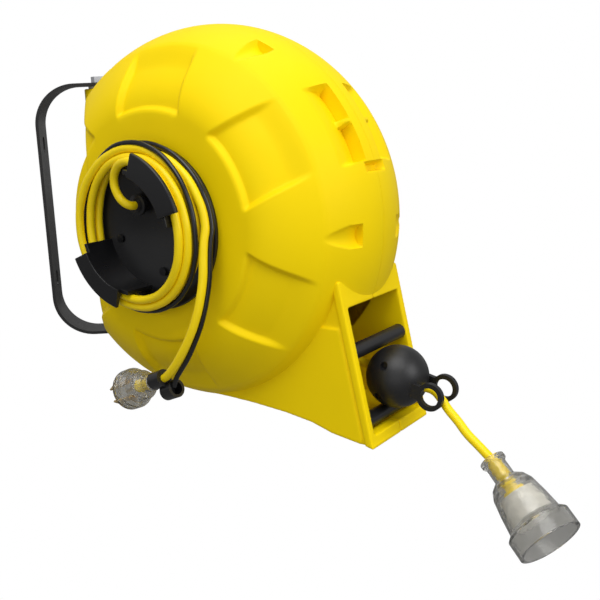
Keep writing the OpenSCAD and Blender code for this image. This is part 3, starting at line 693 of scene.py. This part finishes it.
def lug_half():
    """Half of the two pivot lugs at the back."""
    outline = lug_outline()
    solids = []
    for low, high in ((-LUG_HIGH, -LUG_LOW), (LUG_LOW, LUG_HIGH)):
        vertices = [(x, y, z) for z in (low, high) for x, y in outline]
        solids.append((vertices, prism_faces(len(outline))))
    # The rounding is in millimetres here, because it is baked before the case is placed.
    return baked(soften(gathered("lugs", solids, case_plastic), 1.2, segments=2))


def build_case():
    """The near half, and its mirror image as the far half."""
    near = joined("case_shell_near", [drum_half(), pad_disc(), nose_half(), lug_half()])
    far = bpy.data.objects.new("case_shell_far", near.data.copy())
    bpy.context.collection.objects.link(far)
    far.data.transform(Matrix.Diagonal((1, -1, 1, 1)))
    far.data.flip_normals()
    for thing, node in ((near, "case_near"), (far, "case_far")):
        place(thing, "case")
        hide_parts(node)
        smooth_below(thing, 50)


build_case()

# ---- hub ----------------------------------------------------------------------------------

HOOK_T = 3.5                    # thickness of a hook's wall
BOOT_RIBS = 7
BOOT_R = 6.4                    # strain relief: radius of its first rib
BOOT_TAPER = 1.4                # how much less its tip has
BOOT_GROOVE = 1.1               # depth of the grooves between its ribs


def hub_hook(centre, lip_r, lip_y):
    """Curved wall with an outward lip, swept about the hub axis."""
    inner = HUB_WALL_R - HOOK_T
    root = -HUB_Y + 1
    top = -lip_y + 4
    wall = [(inner, root), (HUB_WALL_R, root), (HUB_WALL_R, top), (inner, top)]
    lip = [
        (inner, -lip_y + 5.5), (HUB_WALL_R - 0.5, -lip_y + 6.2), (HUB_WALL_R + 4, -lip_y + 4.6),
        (lip_r, -lip_y + 3.5), (lip_r, -lip_y + 0.8), (lip_r - 1, -lip_y), (inner, -lip_y),
    ]
    return [
        ring_mesh(wall, centre - HOOK_HALF, centre + HOOK_HALF, steps=28),
        ring_mesh(lip, centre - LIP_HALF, centre + LIP_HALF, steps=24),
    ]


def build_hub():
    """The hub's plate, dished in two steps, with its two hooks."""
    axis = 0.01
    seat = -PAD_Y - 0.3
    face = -HUB_Y
    plate = [
        (axis, seat), (HUB_R - 0.6, seat), (HUB_R, seat - 0.6), (HUB_R, face + 0.8),
        (HUB_R - 0.8, face), (49, face), (47, face + 1), (30, face + 1), (28, face + 2),
        (axis, face + 2),
    ]
    solids = [ring_mesh(plate, 0, 360, steps=128)]
    for centre, lip_r, lip_y in HOOKS:
        solids += hub_hook(centre, lip_r, lip_y)
    hub = gathered("hub_moulding", solids, hub_black)
    place(soften(hub, 1.1 * MM), "case")
    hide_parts("hub_cup")
    smooth_below(hub, 40)


def build_boot():
    """Clamp nut and ribbed strain relief where the supply lead leaves the hub."""
    nut_r = 1.5 * GLAND_R
    nut = HUB_Y + 4
    foot = HUB_Y + 7
    pitch = (GLAND_END - foot) / BOOT_RIBS
    outline = [(LEAD_D / 2, -PAD_Y), (GLAND_R, -PAD_Y), (GLAND_R, -nut), (nut_r, -nut), (nut_r, -foot)]
    for k in range(BOOT_RIBS):
        rib_r = BOOT_R - BOOT_TAPER * k / BOOT_RIBS
        groove_r = rib_r - BOOT_GROOVE
        start = foot + pitch * k
        outline += [
            (rib_r, -start), (rib_r, -start - 0.55 * pitch),
            (groove_r, -start - 0.65 * pitch), (groove_r, -start - pitch),
        ]
    outline.append((LEAD_D / 2, -GLAND_END))
    vertices, faces = ring_mesh(outline, 0, 360, steps=40)
    shift = Vector((GLAND[0], 0, GLAND[1]))
    boot = gathered("lead_boot", [([Vector(v) + shift for v in vertices], faces)], hub_black)
    place(soften(boot, 0.3 * MM), "case")
    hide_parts("lead_gland")


build_hub()
build_boot()

# ---- cords --------------------------------------------------------------------------------

# The lead goes clockwise, seen from the near side, from 80 degrees to 5 degrees and three turns
# more: (degrees turned, radius, y). It lies loose, so no two turns are alike.
LEAD_KEYS = [
    (0, 57.9, -123), (75, 56.8, -127.8), (170, 57.2, -121), (265, 58.5, -111.5),
    (350, 60.8, -115.5), (435, 61, -122), (530, 64, -118.5), (625, 66, -117),
    (710, 68, -113.5), (795, 60.8, -110.5), (890, 61, -108.5), (985, 56.8, -103.5),
    (1070, 65, -105), (1155, 69.76, -109.5),
]
LEAD_FROM = 80
LEAD_STEPS = 52

# The elastic tie cord goes the same way beside it, from 4 degrees, for two turns.
TIE_KEYS = [
    (0, 54.8, -119), (95, 57.5, -114.8), (190, 64, -110.3), (270, 72.5, -114.5),
    (360, 66, -118), (450, 68.5, -112.5), (545, 71.5, -109), (635, 71.5, -103.5), (720, 72.2, -104.3),
]
TIE_FROM = 4
TIE_STEPS = 32

# The stored cord's layers nest, so that they lie less than a diameter apart.
STORED_CORE_R = 50.2
STORED_LAYERS = 5
STORED_LAYER_GAP = 6.25
STORED_HALF = (40.5, 36)        # half width of the even layers and of the odd ones
STORED_TURN_STEPS = 28

STRAND_REACH = 205.6            # from the ball's centre back to the winding
STRAND_STEPS = 14


def tube(name, points, diameter, material):
    """Smooth tube along reel-frame points, made as one open curve in the row frame."""
    curve = bpy.data.curves.new(name, "CURVE")
    curve.dimensions = "3D"
    curve.bevel_depth = diameter / 2 * MM
    curve.bevel_resolution = 5
    curve.resolution_u = 8
    curve.use_fill_caps = True
    spline = curve.splines.new("BEZIER")
    spline.bezier_points.add(len(points) - 1)
    for knot, point in zip(spline.bezier_points, points):
        knot.co = to_row(point)
        knot.handle_left_type = "AUTO"
        knot.handle_right_type = "AUTO"
    curve.materials.append(material)
    thing = bpy.data.objects.new(name, curve)
    bpy.context.collection.objects.link(thing)
    return thing


def between_keys(keys, turned):
    """(radius, y) at a turned angle, from (turned, radius, y) keys."""
    for (start, r0, y0), (end, r1, y1) in zip(keys, keys[1:]):
        if turned <= end:
            t = float(step(turned - start, end - start))
            return r0 + (r1 - r0) * t, y0 + (y1 - y0) * t
    return keys[-1][1:]


def wound(keys, start_angle, first, steps):
    """Points of a winding at even steps of the angle turned, from the step called first."""
    points = []
    for k in range(first, steps):
        turned = keys[-1][0] * k / steps
        radius, y = between_keys(keys, turned)
        points.append(on_reel(radius, math.radians(start_angle - turned), y))
    return points


def build_out_cord():
    """The extension cord from the ball to the socket."""
    out_points = [tuple(a + b for a, b in zip(BALL_FRONT, p)) for p in OUT_ROUTE]
    out_cord = tube("cord_to_socket", out_points, CORD_D, cord_yellow)
    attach(out_cord, "cord_end")
    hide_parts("out_cord")


def build_supply_lead():
    """The supply lead: out of the gland, round the hub and down to the plug."""
    turns = wound(LEAD_KEYS, LEAD_FROM, first=1, steps=LEAD_STEPS)
    lead = tube("supply_lead", START_ROUTE + turns + TAIL_ROUTE, LEAD_D, cord_yellow)
    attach(lead, "case")
    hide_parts("lead_start", "lead_coil", "lead_tail")


def build_tie_cord():
    """The elastic cord beside the lead, down to the clip."""
    turns = wound(TIE_KEYS, TIE_FROM, first=0, steps=TIE_STEPS)
    tie = tube("tie_cord_elastic", turns + TIE_ROUTE, TIE_D, tie_black)
    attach(tie, "case")
    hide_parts("tie_cord")


def build_stored_cord():
    """The cord on the spool as real turns."""
    curve = bpy.data.curves.new("stored_cord", "CURVE")
    curve.dimensions = "3D"
    curve.bevel_depth = CORD_D / 2 * MM
    curve.bevel_resolution = 2
    for layer in range(STORED_LAYERS):
        radius = STORED_CORE_R + CORD_D / 2 + STORED_LAYER_GAP * layer
        half = STORED_HALF[layer % 2]
        turns = int(2 * (half - CORD_D / 2) / CORD_D)
        steps = turns * STORED_TURN_STEPS
        spline = curve.splines.new("POLY")
        spline.points.add(steps)
        for k in range(steps + 1):
            angle = 2 * math.pi * k / STORED_TURN_STEPS
            y = -half + CORD_D / 2 + (2 * half - CORD_D) * k / steps
            spline.points[k].co = (*to_row(on_reel(radius, angle, y)), 1)
    curve.materials.append(cord_yellow)
    stored = bpy.data.objects.new("stored_cord", curve)
    bpy.context.collection.objects.link(stored)
    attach(stored, "spool")
    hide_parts("wound_cord")


def build_strand():
    """The straight strand from the winding out to the ball."""
    along = Vector((math.cos(CORD_ANGLE), 0, -math.sin(CORD_ANGLE)))
    points = []
    for k in range(STRAND_STEPS + 1):
        behind = STRAND_REACH - STRAND_REACH * k / STRAND_STEPS
        points.append(Vector(BALL_AT) - along * behind)
    strand = tube("cord_strand", points, CORD_D, cord_yellow)
    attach(strand, "cord_end")
    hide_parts("cord_run")


build_out_cord()
build_supply_lead()
build_tie_cord()
build_stored_cord()
build_strand()

# ---- CAD nodes that stay ------------------------------------------------------------------

# Width of the rounding on the nodes that show, in millimetres.
SOFT_EDGE = {
    "wall_bracket": 0.8, "ball_near": 0.5, "ball_far": 0.5, "cord_clip": 0.8,
    "roller_upper": 0.8, "roller_lower": 0.8, "pivot_bolts": 0.5, "pivot_nuts": 0.4,
    "hub_screws": 0.3, "case_screws": 0.3, "socket_body": 0.4, "socket_insert": 0.4,
    "socket_sleeve": 0.4, "plug_body": 0.4, "plug_cover": 0.5, "plug_pins": 0.3,
    "plug_sleeve": 0.4,
}


def finish_nodes():
    """Gives each node that nothing has replaced its finish and its soft edges."""
    for name, thing in nodes.items():
        if thing.hide_render:
            continue
        thing.data.materials.clear()
        thing.data.materials.append(FINISHES[name])
        if name in SOFT_EDGE:
            soften(thing, SOFT_EDGE[name] * MM, segments=2, angle=30)
        smooth_below(thing, 32)


finish_nodes()

# ---- stage, light and camera, in metres ---------------------------------------------------

FLOOR_Z = -0.55
FLOOR_HALF = 6
AMBIENT = 0.4                   # strength of the world's light, which the camera sees as white

# Square area lights: name, place, aim, size, watts.
LIGHTS = (
    ("key_above", (0.0, -1.3, 2.4), (0.15, 0, 0), 2.2, 49),
    ("top_soft", (0.4, 0.5, 2.2), (0.2, 0, 0), 1.6, 10),
    ("right_fill", (1.4, -1.1, 0.6), (0.25, 0, 0), 1, 9),
    ("front_fill", (-0.2, -1.7, 0.1), (0.15, 0, -0.1), 1.4, 3.5),
)

# The camera, fitted to the photograph.
CAMERA_AT = (0.1997, -0.9454, 0.0989)
CAMERA_RIGHT = (0.9969, -0.0656, -0.042)
CAMERA_UP = (0.0549, 0.2083, 0.977)
SENSOR_WIDTH = 36
LENS = 54.9


def build_floor():
    """Pale floor that takes light as a grey one and that the camera sees as white."""
    floor = new_object(
        "floor",
        [(-FLOOR_HALF, -FLOOR_HALF, 0), (FLOOR_HALF, -FLOOR_HALF, 0),
         (FLOOR_HALF, FLOOR_HALF, 0), (-FLOOR_HALF, FLOOR_HALF, 0)],
        [(0, 1, 2, 3)], None,
    )
    floor.location = (0, 0, FLOOR_Z)
    s = Shader("floor_white")
    drift = s.noise(scale=3, detail=2)
    s.link(s.ramp(drift, (0.2, 0.2, 0.2, 1), (0.22, 0.22, 0.22, 1)), s.bsdf.inputs["Base Color"])
    s.bsdf.inputs["Roughness"].default_value = 0.8
    seen = s.tree.nodes.new("ShaderNodeEmission")
    seen.inputs["Strength"].default_value = 1
    quiet = s.tree.nodes.new("ShaderNodeMixShader")
    s.link(s.tree.nodes.new("ShaderNodeLightPath").outputs["Is Camera Ray"], quiet.inputs[0])
    s.link(s.bsdf.outputs[0], quiet.inputs[1])
    s.link(seen.outputs[0], quiet.inputs[2])
    s.link(quiet.outputs[0], s.tree.nodes["Material Output"].inputs["Surface"])
    floor.data.materials.append(s.material)


def build_world():
    """White studio air, which lights the reel less brightly than the camera sees it."""
    world = bpy.data.worlds.new("studio")
    bpy.context.scene.world = world
    world.use_nodes = True
    tree = world.node_tree
    backdrop = tree.nodes["Background"]
    backdrop.inputs["Color"].default_value = (1, 1, 1, 1)
    strength = tree.nodes.new("ShaderNodeMapRange")
    strength.inputs["To Min"].default_value = AMBIENT
    strength.inputs["To Max"].default_value = 1
    camera_ray = tree.nodes.new("ShaderNodeLightPath").outputs["Is Camera Ray"]
    tree.links.new(camera_ray, strength.inputs["Value"])
    tree.links.new(strength.outputs["Result"], backdrop.inputs["Strength"])


def soft_light(name, at, aim, size, power):
    """Square area light that points from one place at another."""
    lamp = bpy.data.lights.new(name, "AREA")
    lamp.shape = "SQUARE"
    lamp.size = size
    lamp.energy = power
    thing = bpy.data.objects.new(name, lamp)
    bpy.context.collection.objects.link(thing)
    thing.location = at
    thing.rotation_euler = (Vector(aim) - Vector(at)).to_track_quat("-Z", "Y").to_euler()


def build_camera():
    """Camera at the photograph's viewing angle."""
    data = bpy.data.cameras.new("camera")
    data.sensor_width = SENSOR_WIDTH
    data.lens = LENS
    data.dof.use_dof = False
    camera = bpy.data.objects.new("camera", data)
    bpy.context.collection.objects.link(camera)
    right = Vector(CAMERA_RIGHT)
    back = right.cross(Vector(CAMERA_UP)).normalized()
    up = back.cross(right).normalized()
    turn = Matrix((right.normalized(), up, back)).transposed()
    camera.matrix_world = Matrix.Translation(CAMERA_AT) @ turn.to_4x4()
    bpy.context.scene.camera = camera


build_floor()
build_world()
for light in LIGHTS:
    soft_light(*light)
build_camera()
bpy.context.scene.view_settings.view_transform = "Standard"
